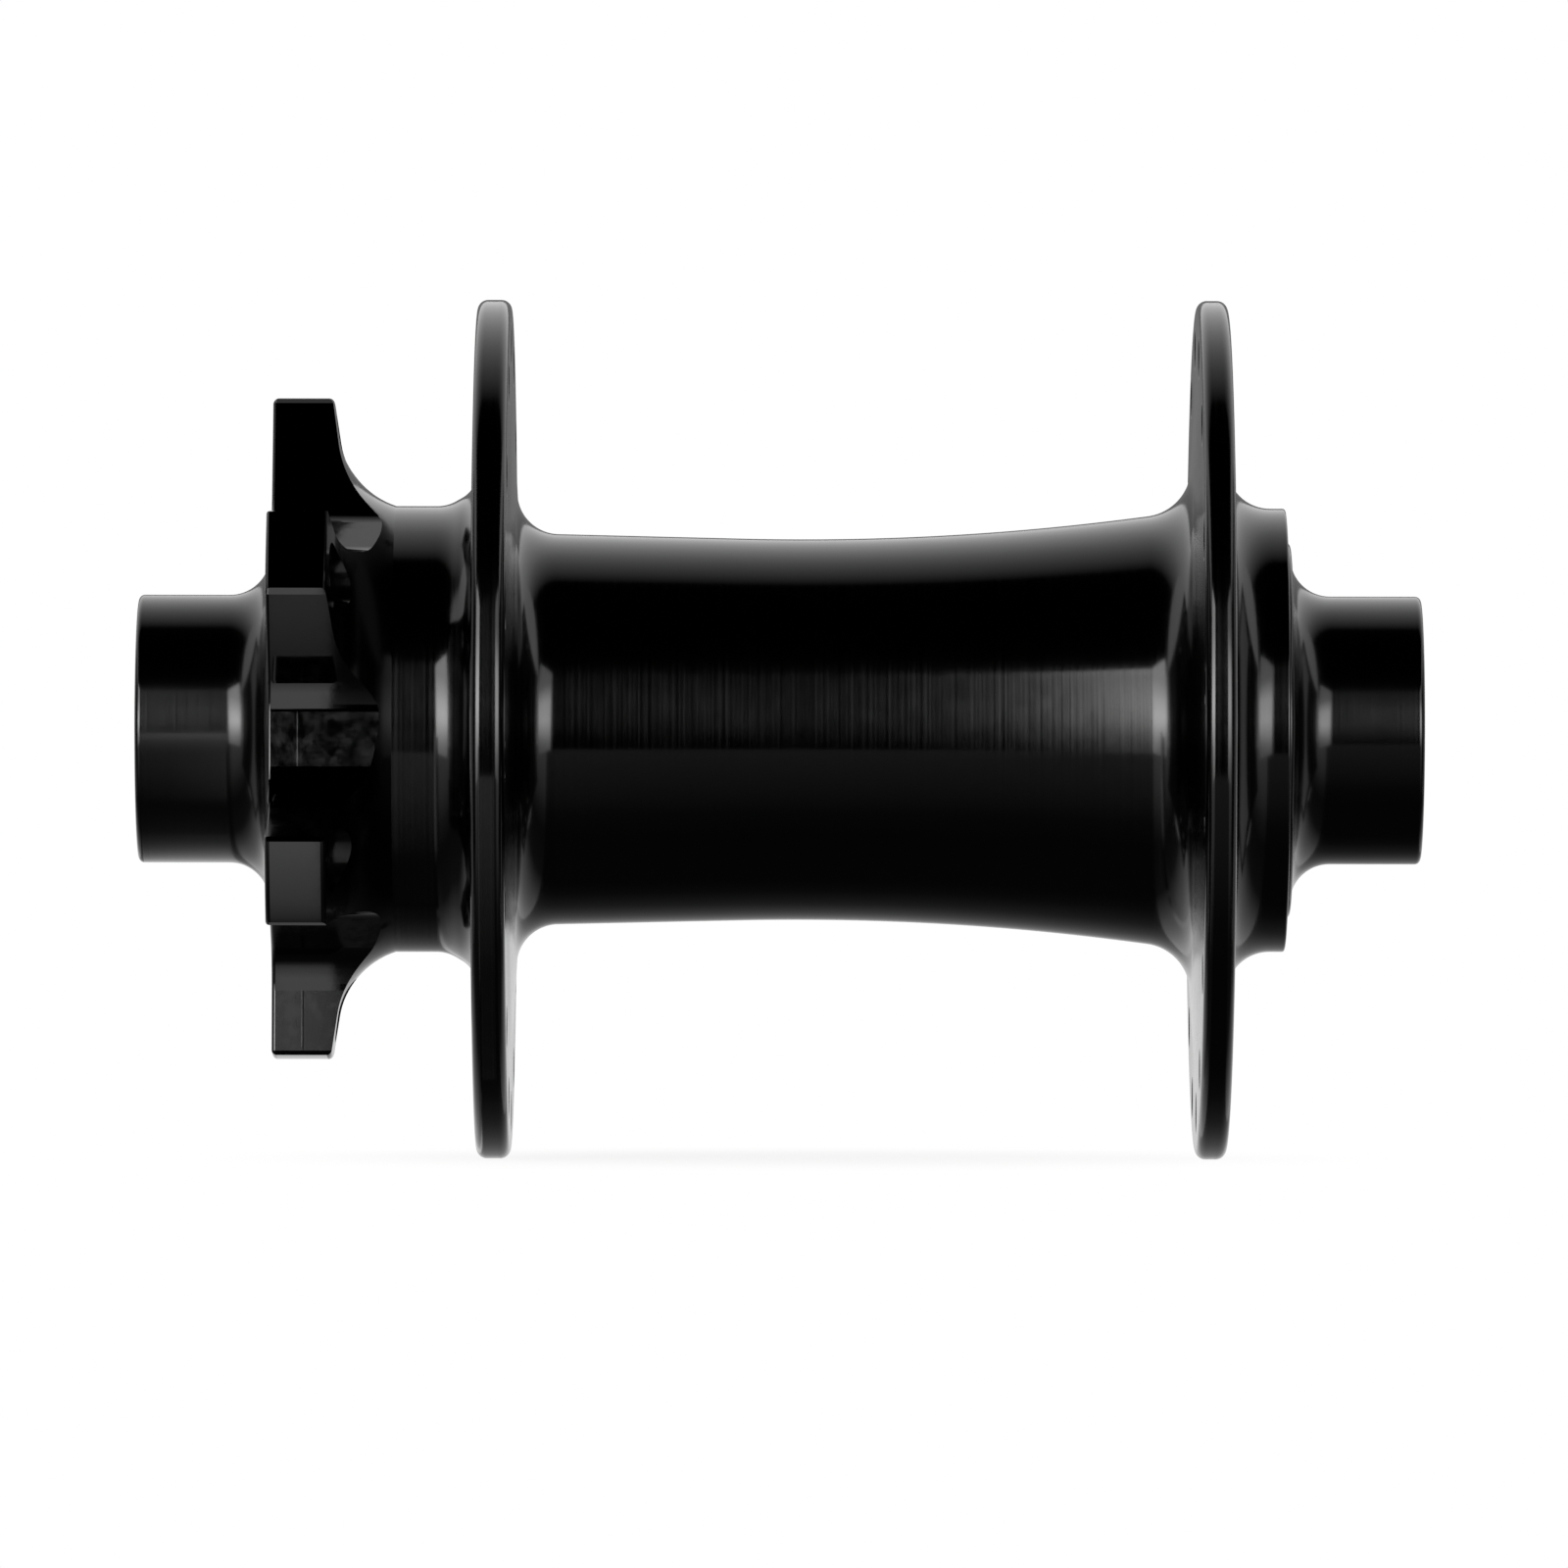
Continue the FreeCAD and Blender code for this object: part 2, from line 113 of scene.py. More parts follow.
# The same anodised aluminium where a mill or a drill cut it. It mirrors without the smear of turned rings, and
# is scuffed in blotches where chips rubbed. The valley floors also keep a fine line where two passes met.
def milledAluminium(name, look):
    material, tree = newMaterial(name)
    place = addNode(tree, "ShaderNodeTexCoord").outputs["Object"]
    axes = addNode(tree, "ShaderNodeSeparateXYZ", links={0: place})
    blotches = addNode(tree, "ShaderNodeTexNoise", {},
                       {"Scale": 1 / (look["blotchSize"] * mm), "Detail": 5.0, "Roughness": 0.65},
                       {"Vector": place})
    cleanBelow, scuffedAbove = 0.4, 0.66     # of the blotches' pattern
    rough = addNode(tree, "ShaderNodeMapRange", {},
                    {"From Min": cleanBelow, "From Max": scuffedAbove,
                     "To Min": look["roughness"], "To Max": look["scuffed"]},
                    {"Value": blotches.outputs["Fac"]})
    scuffs = addNode(tree, "ShaderNodeTexNoise", {},
                     {"Scale": 1 / (look["scuffSize"] * mm), "Detail": 3.0, "Distortion": 0.6},
                     {"Vector": place})
    toLine = addNode(tree, "ShaderNodeMath", {"operation": "SUBTRACT"}, {1: look["linePlace"] * mm},
                     {0: axes.outputs["Y"]})
    toLine = addNode(tree, "ShaderNodeMath", {"operation": "ABSOLUTE"}, links={0: toLine.outputs[0]})
    line = addNode(tree, "ShaderNodeMapRange", {"interpolation_type": "SMOOTHSTEP"},
                   {"From Min": 0.0, "From Max": look["lineWidth"] / 2 * mm,
                    "To Min": look["lineHeight"], "To Max": 0.0},
                   {"Value": toLine.outputs[0]})
    height = addNode(tree, "ShaderNodeMath", {"operation": "MULTIPLY_ADD"}, {1: look["scuffDepth"]},
                     {0: scuffs.outputs["Fac"], 2: line.outputs["Result"]})
    bump = addNode(tree, "ShaderNodeBump", {}, {"Strength": 1.0, "Distance": mm},
                   {"Height": height.outputs[0]})
    shader = addNode(tree, "ShaderNodeBsdfPrincipled", {},
                     {"Base Color": linear(look["colour"]), "Metallic": 1.0},
                     {"Roughness": rough.outputs["Result"], "Normal": bump.outputs["Normal"]})
    surface(tree, shader)
    return material


# Ground or lapped steel: a clear mirror, slightly uneven where the stone or the paste worked it.
def plainMetal(name, look):
    material, tree = newMaterial(name)
    place = addNode(tree, "ShaderNodeTexCoord").outputs["Object"]
    grain = addNode(tree, "ShaderNodeTexNoise", {},
                    {"Scale": 1 / (look["grain"] * mm), "Detail": 3.0}, {"Vector": place})
    unevenness = 0.2
    rough = addNode(tree, "ShaderNodeMapRange", {},
                    {"To Min": look["roughness"] * (1 - unevenness),
                     "To Max": look["roughness"] * (1 + unevenness)},
                    {"Value": grain.outputs["Fac"]})
    shader = addNode(tree, "ShaderNodeBsdfPrincipled", {},
                     {"Base Color": linear(look["colour"]), "Metallic": 1.0},
                     {"Roughness": rough.outputs["Result"]})
    surface(tree, shader)
    return material


# Moulded nitrile rubber or nylon: a soft sheen over the faint grain of the mould.
def plainPolymer(name, look):
    material, tree = newMaterial(name)
    place = addNode(tree, "ShaderNodeTexCoord").outputs["Object"]
    grain = addNode(tree, "ShaderNodeTexNoise", {},
                    {"Scale": 1 / (look["grain"] * mm), "Detail": 4.0}, {"Vector": place})
    bump = addNode(tree, "ShaderNodeBump", {},
                   {"Strength": 1.0, "Distance": look["grainDepth"] * mm}, {"Height": grain.outputs["Fac"]})
    shader = addNode(tree, "ShaderNodeBsdfPrincipled", {},
                     {"Base Color": linear(look["colour"]), "Roughness": look["roughness"],
                      "IOR": look["ior"]},
                     {"Normal": bump.outputs["Normal"]})
    surface(tree, shader)
    return material


# Sizes and depths of patterns are in mm.
shellLook = {"colour": "#454545", "roughness": 0.105, "roughnessSpread": 0.05, "anisotropy": 0.75,
             "ringSpacing": 0.3, "ringDepth": 0.0018, "smudgeSize": 1.2}
capLook = {"colour": "#454545", "roughness": 0.14, "roughnessSpread": 0.03, "anisotropy": 0.75,
           "ringSpacing": 0.2, "ringDepth": 0.0006, "smudgeSize": 2.0}
tubeLook = {"colour": "#4a4a4c", "roughness": 0.3, "roughnessSpread": 0.08, "anisotropy": 0.6,
            "ringSpacing": 0.25, "ringDepth": 0.001, "smudgeSize": 4.0}
milledLook = {"colour": "#484848", "roughness": 0.04, "scuffed": 0.06, "blotchSize": 1.3, "scuffSize": 0.35,
              "scuffDepth": 0.0003, "linePlace": 37.1, "lineWidth": 0.2, "lineHeight": 0.0}
rubbedLook = dict(milledLook, roughness=0.1, scuffed=0.23, scuffDepth=0.001, lineHeight=0.005)
drilledLook = dict(milledLook, roughness=0.14, scuffed=0.22)
milled = milledAluminium("anodisedMilled", milledLook)
rubbed = milledAluminium("anodisedMilledRubbed", rubbedLook)
drilled = milledAluminium("anodisedDrilled", drilledLook)
materials = {
    "anodised_shell": anodisedAluminium("anodisedShell", shellLook),
    "anodised_cap": anodisedAluminium("anodisedCap", capLook),
    "anodised_axle": anodisedAluminium("anodisedTube", tubeLook),
    "bearing_steel": plainMetal("groundBearingSteel", {"colour": "#b9bbbf", "roughness": 0.22,
                                                       "grain": 0.05}),
    "ball_steel": plainMetal("lappedBallSteel", {"colour": "#c6c8cb", "roughness": 0.06, "grain": 0.3}),
    "oring_rubber": plainPolymer("nitrileRing", {"colour": "#1b1b1c", "roughness": 0.45, "ior": 1.52,
                                                 "grain": 0.2, "grainDepth": 0.002}),
    "seal_rubber": plainPolymer("nitrileLip", {"colour": "#1e1e1f", "roughness": 0.6, "ior": 1.52,
                                               "grain": 0.15, "grainDepth": 0.003}),
    "bearing_seal_rubber": plainPolymer("mouldedNitrileSeal", {"colour": "#232325", "roughness": 0.5,
                                                               "ior": 1.52, "grain": 0.15,
                                                               "grainDepth": 0.002}),
    "cage_nylon": plainPolymer("naturalNylon", {"colour": "#e3dcc8", "roughness": 0.4, "ior": 1.53,
                                                "grain": 0.4, "grainDepth": 0.002}),
}
print("materials made")


# Draws a closed section in the plane of the axle: corners are (y, radius, rounding) in mm, and each rounding
# is a true arc, swept from a point by spin, in steps of a few degrees and never over arcLength long.
def drawSection(bm, corners, arcStep, arcLength=0.8):
    others = set(bm.edges)
    points = [Vector((0, y, radius)) * mm for y, radius, rounding in corners]
    chains = []
    for i, here in enumerate(points):
        before = (points[i - 1] - here).normalized()
        after = (points[(i + 1) % len(points)] - here).normalized()
        half = before.angle(after) / 2
        rounding = corners[i][2] * mm
        first = bm.verts.new(here + before * (rounding / math.tan(half)))
        last = first
        if rounding:
            centre = here + (before + after).normalized() * (rounding / math.sin(half))
            turn = math.pi - 2 * half
            steps = math.ceil(max(math.degrees(turn) / arcStep, turn * rounding / (arcLength * mm)))
            arc = bmesh.ops.spin(bm, geom=[first], cent=centre, axis=after.cross(before), dvec=(0, 0, 0),
                                 angle=turn, steps=steps)
            last = arc["geom_last"][0]
        chains.append((first, last))
    for i, (first, last) in enumerate(chains):
        bm.edges.new((chains[i - 1][1], first))
    return [edge for edge in bm.edges if edge not in others]


# Turns a section about the axle into a closed mesh.
def turnSection(corners, steps, arcStep=5.0):
    bm = bmesh.new()
    edges = drawSection(bm, corners, arcStep)
    bmesh.ops.spin(bm, geom=bm.verts[:] + edges, cent=(0, 0, 0), axis=(0, 1, 0), dvec=(0, 0, 0),
                   angle=2 * math.pi, steps=steps, use_merge=True)
    bmesh.ops.remove_doubles(bm, verts=bm.verts, dist=mergeDistance)
    bmesh.ops.recalc_face_normals(bm, faces=bm.faces)
    return bm


def meshObject(name, bm):
    mesh = bpy.data.meshes.new(name)
    bm.to_mesh(mesh)
    bm.free()
    piece = bpy.data.objects.new(name, mesh)
    bpy.context.scene.collection.objects.link(piece)
    return piece


# Smooth where the surface runs on, sharp where it breaks or the finish changes, with flat faces kept flat.
def shadeSmooth(piece, breakAngle=28):
    for polygon in piece.data.polygons:
        polygon.use_smooth = True
    piece.data.set_sharp_from_angle(angle=math.radians(breakAngle))
    bm = bmesh.new()
    bm.from_mesh(piece.data)
    for edge in bm.edges:
        if len({face.material_index for face in edge.link_faces}) > 1:
            edge.smooth = False
    bm.to_mesh(piece.data)
    bm.free()
    weighted = piece.modifiers.new("flatFacesStayFlat", "WEIGHTED_NORMAL")
    weighted.keep_sharp = True
    weighted.weight = 80               # large faces count for more than small ones


def dress(piece, body, slot, *nodes):
    if not piece.data.materials:
        piece.data.materials.append(materials[slot])
    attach(piece, body)
    if nodes:
        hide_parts(*nodes)


# A point at this angle from +X towards +Z, at this distance from the axle, in mm
def around(angle, radius, y=0.0):
    turn = math.radians(angle)
    return Vector((radius * math.cos(turn), y, radius * math.sin(turn))) * mm


# The hub shell. Lengths are in mm along the axle or out from it, and slopes and angles in degrees.
shell = {
    "seatRadius": 15.0, "mouthChamfer": 0.25, "seatDepth": 8.9, "shoulderRadius": 13.0, "shoulderLength": 3.6,
    "taperLength": 1.5, "wall": 2.3,
    "rotorFace": 39.5, "tabTipRadius": 25.8, "tabTipRound": 0.4, "tabThickness": 4.65, "tabBackSlope": 8.8,
    "tabRootRound": 6.5, "footReach": 4.92, "footSlope": 18.0,
    "neckRadius": 17.4, "neckRootRound": 2.4, "flarePlace": 25.95, "flareAngle": 30.0, "flareRound": 3.0,
    "flangeRadius": 33.5, "discFlangeThickness": 2.65, "rimRound": 0.8, "dish": 0.6, "dishRadius": 26.0,
    "discFlange": 22.275, "plainFlange": -33.65, "plainFlangeThickness": 2.4,
    "discBarrelRadius": 15.3, "discBarrelRootRound": 3.3,
    "plainBarrelRadius": 17.1, "plainBarrelRootRound": 3.9,
    "waistRadius": 14.56, "waistPlace": -12.1, "waistBlend": 200.0,
    "housingRadius": 17.3, "housingRootRound": 3.4, "plainEnd": -39.4, "endRound": 0.2,
    "steps": 240, "arcStep": 4.0,
}


def shellSection(s):
    slope = math.tan(math.radians(s["tabBackSlope"]))
    footSlope = math.tan(math.radians(s["footSlope"]))
    tabBack = s["rotorFace"] - s["tabThickness"]
    tabFoot = tabBack - s["footReach"]
    tabRoot = tabBack - (s["tabTipRadius"] - s["neckRadius"]) * slope
    rootHeight = footSlope * (tabRoot - tabFoot) / (1 - footSlope * slope)
    discOuter = s["discFlange"] + s["discFlangeThickness"] / 2
    discInner = s["discFlange"] - s["discFlangeThickness"] / 2
    flare = (s["flarePlace"] - discOuter) * math.tan(math.radians(s["flareAngle"]))
    plainOuter = s["plainFlange"] - s["plainFlangeThickness"] / 2
    plainInner = s["plainFlange"] + s["plainFlangeThickness"] / 2
    mouth = s["seatRadius"] + s["mouthChamfer"]
    cavity = s["waistRadius"] - s["wall"]
    discSeat = s["rotorFace"] - s["seatDepth"]
    plainSeat = -discSeat              # the bearings stand equally far from the middle
    discShoulder = discSeat - s["shoulderLength"]
    plainShoulder = plainSeat + s["shoulderLength"]
    return [
        (s["rotorFace"], mouth, 0),
        (s["rotorFace"], s["tabTipRadius"], s["tabTipRound"]),
        (tabBack, s["tabTipRadius"], s["tabTipRound"]),
        (tabRoot + rootHeight * slope, s["neckRadius"] + rootHeight, s["tabRootRound"]),
        (tabFoot, s["neckRadius"], 0),
        (s["flarePlace"], s["neckRadius"], s["flareRound"]),
        (discOuter, s["neckRadius"] + flare, s["neckRootRound"]),
        (discOuter, s["flangeRadius"], s["rimRound"]),
        (discInner, s["flangeRadius"], s["rimRound"]),
        (discInner, s["dishRadius"], 0),
        (discInner - s["dish"], s["discBarrelRadius"], s["discBarrelRootRound"]),
        (s["waistPlace"], s["waistRadius"], s["waistBlend"]),
        (plainInner + s["dish"], s["plainBarrelRadius"], s["plainBarrelRootRound"]),
        (plainInner, s["dishRadius"], 0),
        (plainInner, s["flangeRadius"], s["rimRound"]),
        (plainOuter, s["flangeRadius"], s["rimRound"]),
        (plainOuter, s["housingRadius"], s["housingRootRound"]),
        (s["plainEnd"], s["housingRadius"], s["endRound"]),
        (s["plainEnd"], mouth, 0),
        (s["plainEnd"] + s["mouthChamfer"], s["seatRadius"], 0),
        (plainSeat, s["seatRadius"], 0),
        (plainSeat, s["shoulderRadius"], 0),
        (plainShoulder, s["shoulderRadius"], 0),
        (plainShoulder + s["taperLength"], cavity, 0),
        (discShoulder - s["taperLength"], cavity, 0),
        (discShoulder, s["shoulderRadius"], 0),
        (discSeat, s["shoulderRadius"], 0),
        (discSeat, s["seatRadius"], 0),
        (s["rotorFace"] - s["mouthChamfer"], s["seatRadius"], 0),
    ]


# Outline of one gap between two arms of the rotor mount: a flat floor, a straight flank on one side, a
# slanted one on the other, and the arms' tips broken. Corners are (across, out from the axle, rounding), and
# grow is how much wider it is all round.
def gapOutline(s, star, grow):
    pitch = math.pi / star["arms"]
    half = star["armWidth"] / 2
    lean = math.asin(half / s["tabTipRadius"])
    floor = s["neckRadius"] + star["floorStep"] - grow
    sides = []
    for side, slant in ((-1, pitch), (1, pitch + math.radians(star["flankSlant"]))):
        tip = Vector((side * math.sin(pitch - lean), math.cos(pitch - lean))) * s["tabTipRadius"]
        flank = Vector((side * math.sin(slant), math.cos(slant)))
        away = Vector((side * math.cos(slant), -math.sin(slant)))
        breakTurn = (slant + pitch - lean + math.pi / 2) / 2
        top = tip - flank * star["tipBreak"] + away * grow
        far = top + Vector((side * math.sin(breakTurn), math.cos(breakTurn))) * star["reach"]
        root = top - flank * ((top.y - floor) / flank.y)
        sides.append([(root.x, root.y, star["cornerRound"] + grow), (top.x, top.y, 0), (far.x, far.y, 0)])
    return sides[0][::-1] + sides[1]


# The cutter for one gap: the outline drawn at several heights and bridged. It widens along a quarter round at
# the rotor's face, which rounds that edge, and the round's last step runs on past the face. The floor and the
# straight flank are rubbed, and the rest is cut clean.
def gapCutter(bm, angle, low, s, star):
    others = set(bm.verts)
    stand = Matrix(((0, 0, 1), (-1, 0, 0), (0, -1, 0)))     # from the drawing's plane to one across the axle
    face, rounding = s["rotorFace"], star["faceBreak"]
    heights = [(low, 0)]
    for k in range(star["roundSteps"]):
        turn = math.radians(90 * k / star["roundSteps"])
        heights.append((face - rounding * (1 - math.sin(turn)), rounding * (1 - math.cos(turn))))
    y, grow = heights[-1]
    heights.append((face + star["overrun"], rounding + star["overrun"] * (rounding - grow) / (face - y)))
    rings = []
    for y, grow in heights:
        ring = drawSection(bm, gapOutline(s, star, grow), star["arcStep"])
        corners = list({v for edge in ring for v in edge.verts})
        bmesh.ops.rotate(bm, verts=corners, cent=(0, 0, 0), matrix=stand)
        bmesh.ops.translate(bm, verts=corners, vec=(0, y * mm, 0))
        rings.append(ring)
    for i in range(1, len(rings)):
        walls = bmesh.ops.bridge_loops(bm, edges=rings[i - 1] + rings[i])["faces"]
        if i > 1:
            continue                   # the round at the face is cut clean
        for wall in walls:
            middle = wall.calc_center_median()
            width = max((a.co - b.co).xz.length for a, b in zip(wall.verts[:], wall.verts[1:]))
            onFloor = middle.x < (s["neckRadius"] + star["floorStep"] + star["tipBreak"]) * mm
            if width > star["narrow"] * mm and (onFloor or middle.z > 0):
                wall.material_index = rubbedCut
    for ring in (rings[0], rings[-1]):
        bmesh.ops.contextual_create(bm, geom=ring)
    island = [v for v in bm.verts if v not in others]
    bmesh.ops.rotate(bm, verts=island, cent=(0, 0, 0), matrix=Matrix.Rotation(-math.radians(angle), 3, "Y"))


# A drill from low to high, countersunk at the high end, and at the low end where lowSink says so
def drillCutter(bm, angle, circle, low, high, drill):
    others = set(bm.faces)
    wide = drill["radius"] + drill["countersink"]
    lowEnd = wide if drill["lowSink"] else drill["radius"]
    stations = [(low - drill["margin"], lowEnd), (low, lowEnd),
                (low + drill["countersink"], drill["radius"]), (high - drill["countersink"], drill["radius"]),
                (high, wide), (high + drill["margin"], wide)]
    ring = bmesh.ops.create_circle(bm, cap_ends=True, radius=stations[0][1] * mm,
                                   segments=drill["steps"])["verts"]
    bmesh.ops.rotate(bm, verts=ring, cent=(0, 0, 0), matrix=Matrix.Rotation(math.radians(90), 3, "X"))
    place = around(angle, circle)
    bmesh.ops.translate(bm, verts=ring, vec=place + Vector((0, stations[0][0], 0)) * mm)
    face = [f for f in bm.faces if set(f.verts) == set(ring)]
    for i in range(1, len(stations)):
        grown = bmesh.ops.extrude_face_region(bm, geom=face)["geom"]
        if i > 1:                      # the first face stays as the drill's end
            bmesh.ops.delete(bm, geom=face, context="FACES_ONLY")
        face = [f for f in grown if isinstance(f, bmesh.types.BMFace)]
        top = face[0].verts[:]
        middle = place + Vector((0, stations[i - 1][0], 0)) * mm
        share = stations[i][1] / stations[i - 1][1]
        bmesh.ops.scale(bm, verts=top, vec=(share, 1, share), space=Matrix.Translation(-middle))
        bmesh.ops.translate(bm, verts=top, vec=Vector((0, stations[i][0] - stations[i - 1][0], 0)) * mm)
    for wall in bm.faces:
        if wall not in others:
            wall.material_index = drilledCut


# Cuts a closed cutter mesh from a piece and keeps the result as its mesh. Cut faces get the cutter's finish.
def cutAway(piece, bm, finishes):
    bmesh.ops.recalc_face_normals(bm, faces=bm.faces)
    cutter = meshObject("cutter", bm)
    for finish in finishes:
        cutter.data.materials.append(finish)
    boolean = piece.modifiers.new("cut", "BOOLEAN")
    boolean.solver = "EXACT"
    boolean.material_mode = "TRANSFER"
    boolean.object = cutter
    graph = bpy.context.evaluated_depsgraph_get()
    cut = bpy.data.meshes.new_from_object(piece.evaluated_get(graph))
    piece.modifiers.clear()
    piece.data = cut
    bpy.data.objects.remove(cutter)


# The rotor mount's star and the spoke holes. A turn is the angle of the first arm or hole, and narrow is the
# width under which a face belongs to a rounded corner and stays clean.
star = {"arms": 6, "turn": 27.6, "armWidth": 7.6, "flankSlant": 20.8, "floorStep": 0.4, "cornerRound": 3.8,
        "faceBreak": 0.3, "roundSteps": 4, "overrun": 0.1, "tipBreak": 0.3, "reach": 12.0, "narrow": 0.5,
        "arcStep": 4.0, "boltCircle": 22.0,
        "drill": {"radius": 2.5, "countersink": 0.12, "lowSink": False, "margin": 1.0, "steps": 40}}
spokes = {"perFlange": 16, "turn": 27.3, "circle": 30.0,
          "drill": {"radius": 1.3, "countersink": 0.35, "lowSink": True, "margin": 1.0, "steps": 28}}
cutFinishes = (milled, rubbed, drilled)
rubbedCut, drilledCut = 1, 2           # their places there

shellPiece = meshObject("hubShell", turnSection(shellSection(shell), shell["steps"], shell["arcStep"]))
shellPiece.data.materials.append(materials["anodised_shell"])
print("shell turned,", len(shellPiece.data.polygons), "faces")
bm = bmesh.new()
armPitch = 360 / star["arms"]
behindArms = (shell["discFlange"] + shell["rotorFace"] - shell["tabThickness"]) / 2
for i in range(star["arms"]):
    gapCutter(bm, star["turn"] + (i + 0.5) * armPitch, behindArms, shell, star)
    drillCutter(bm, star["turn"] + i * armPitch, star["boltCircle"], behindArms, shell["rotorFace"],
                star["drill"])
spokePitch = 360 / spokes["perFlange"]
for end, shift in (("disc", 0.0), ("plain", 0.5)):     # the two flanges' holes stand half a pitch apart
    low = shell[end + "Flange"] - shell[end + "FlangeThickness"] / 2
    high = shell[end + "Flange"] + shell[end + "FlangeThickness"] / 2
    for i in range(spokes["perFlange"]):
        drillCutter(bm, spokes["turn"] + (i + shift) * spokePitch, spokes["circle"], low, high,
                    spokes["drill"])
cutAway(shellPiece, bm, cutFinishes)
tipFinish = shellPiece.data.materials.find(milled.name)
tipsFrom = (shell["tabTipRadius"] - shell["tabTipRound"] / 2) * mm
for polygon in shellPiece.data.polygons:       # the arms' tips are finished with the star
    outwards = math.hypot(polygon.center.x, polygon.center.z)
    if polygon.center.y > behindArms * mm and outwards > tipsFrom:
        polygon.material_index = tipFinish
print("star, bolt holes and spoke holes cut,", len(shellPiece.data.polygons), "faces")
shadeSmooth(shellPiece)
dress(shellPiece, "hub_body", "anodised_shell", "hub_shell")

# M5 threads in the bolt holes: the ridge is swept along a screw line, and runs out at both ends.
thread = {"pitch": 0.8, "rootRadius": 2.52, "crestRadius": 2.1, "rootWidth": 0.7, "crestWidth": 0.16,
          "low": 34.95, "high": 39.05, "stepsPerTurn": 32, "runOut": 0.5}


def threadRidge(bm, angle, radius, t):
    others = set(bm.verts)
    middle = around(angle, radius)
    quad = [(t["rootRadius"], -t["rootWidth"] / 2), (t["crestRadius"], -t["crestWidth"] / 2),
            (t["crestRadius"], t["crestWidth"] / 2), (t["rootRadius"], t["rootWidth"] / 2)]
    corners = [bm.verts.new(middle + Vector((out, t["low"] + y, 0)) * mm) for out, y in quad]
    face = bm.faces.new(corners)
    steps = round((t["high"] - t["low"]) / t["pitch"] * t["stepsPerTurn"])
    bmesh.ops.spin(bm, geom=[face], cent=middle, axis=(0, 1, 0), steps=steps,
                   dvec=(0, t["pitch"] / t["stepsPerTurn"] * mm, 0),
                   angle=2 * math.pi * steps / t["stepsPerTurn"])
    for v in bm.verts:
        if v in others:
            continue
        flat = Vector((v.co.x - middle.x, 0, v.co.z - middle.z))
        if flat.length < (t["rootRadius"] + t["crestRadius"]) / 2 * mm:
            inset = min(v.co.y - t["low"] * mm, t["high"] * mm - v.co.y) / (t["runOut"] * mm)
            out = t["rootRadius"] - (t["rootRadius"] - t["crestRadius"]) * min(1.0, max(0.0, inset))
            v.co += flat.normalized() * out * mm - flat


bm = bmesh.new()
for i in range(star["arms"]):
    threadRidge(bm, star["turn"] + i * armPitch, star["boltCircle"], thread)
bmesh.ops.recalc_face_normals(bm, faces=bm.faces)
threads = meshObject("boltHoleThreads", bm)
shadeSmooth(threads)
threads.data.materials.append(drilled)
dress(threads, "hub_body", "anodised_shell")
print("bolt holes threaded")

# An end cap: the nose that the fork clamps, a flange over the shell's mouth, and a socket with the O-ring's
# groove
cap = {"face": 50.0, "bore": 7.55, "boreChamfer": 0.4, "noseRadius": 10.45, "noseSweep": 3.13,
       "edgeRound": 0.45, "flangeFace": 39.8, "flangeBack": 38.7, "flangeRadius": 14.7, "bossRadius": 9.67,
       "bossEnd": 37.6, "socket": 8.52, "grooveMiddle": 40.1, "grooveWidth": 1.9, "grooveRadius": 10.0,
       "stop": 45.2,
       "steps": 180, "arcStep": 5.0}


def capSection(c, side):
    grooveLow = c["grooveMiddle"] - c["grooveWidth"] / 2
    grooveHigh = c["grooveMiddle"] + c["grooveWidth"] / 2
    corners = [
        (c["face"], c["bore"] + c["boreChamfer"], 0),
        (c["face"], c["noseRadius"], c["edgeRound"]),
        (c["flangeFace"], c["noseRadius"], c["noseSweep"]),
        (c["flangeFace"], c["flangeRadius"], c["edgeRound"]),
        (c["flangeBack"], c["flangeRadius"], 0),
        (c["flangeBack"], c["bossRadius"], 0),
        (c["bossEnd"], c["bossRadius"], 0),
        (c["bossEnd"], c["socket"], 0),
        (grooveLow, c["socket"], 0),
        (grooveLow, c["grooveRadius"], 0),
        (grooveHigh, c["grooveRadius"], 0),
        (grooveHigh, c["socket"], 0),
        (c["stop"], c["socket"], 0),
        (c["stop"], c["bore"], 0),
        (c["face"] - c["boreChamfer"], c["bore"], 0),
    ]
    return [(side * y, radius, rounding) for y, radius, rounding in corners]


for end, side in (("disc", discSide), ("plain", plainSide)):
    piece = meshObject(end + "SideCap", turnSection(capSection(cap, side), cap["steps"], cap["arcStep"]))
    shadeSmooth(piece)
    dress(piece, "axle_set", "anodised_cap", end + "_side_end_cap")

# The axle tube: journals for the bearings at its ends, and a collar behind each
tube = {"end": 45.0, "bore": 7.55, "journal": 8.5, "chamfer": 0.3, "collarOuter": 30.6, "collarLength": 6.6,
        "collarRadius": 9.7, "middleRadius": 8.9, "steps": 160}


def tubeSection(t):
    collarInner = t["collarOuter"] - t["collarLength"]
    half = [(t["end"], t["bore"], 0), (t["end"], t["journal"] - t["chamfer"], 0),
            (t["end"] - t["chamfer"], t["journal"], 0), (t["collarOuter"], t["journal"], 0),
            (t["collarOuter"], t["collarRadius"], 0), (collarInner, t["collarRadius"], 0),
            (collarInner, t["middleRadius"], 0)]
    return half + [(-y, radius, rounding) for y, radius, rounding in reversed(half)]


piece = meshObject("axleTube", turnSection(tubeSection(tube), tube["steps"]))
shadeSmooth(piece)
dress(piece, "axle_set", "anodised_axle", "axle_tube")
print("caps and axle tube turned")

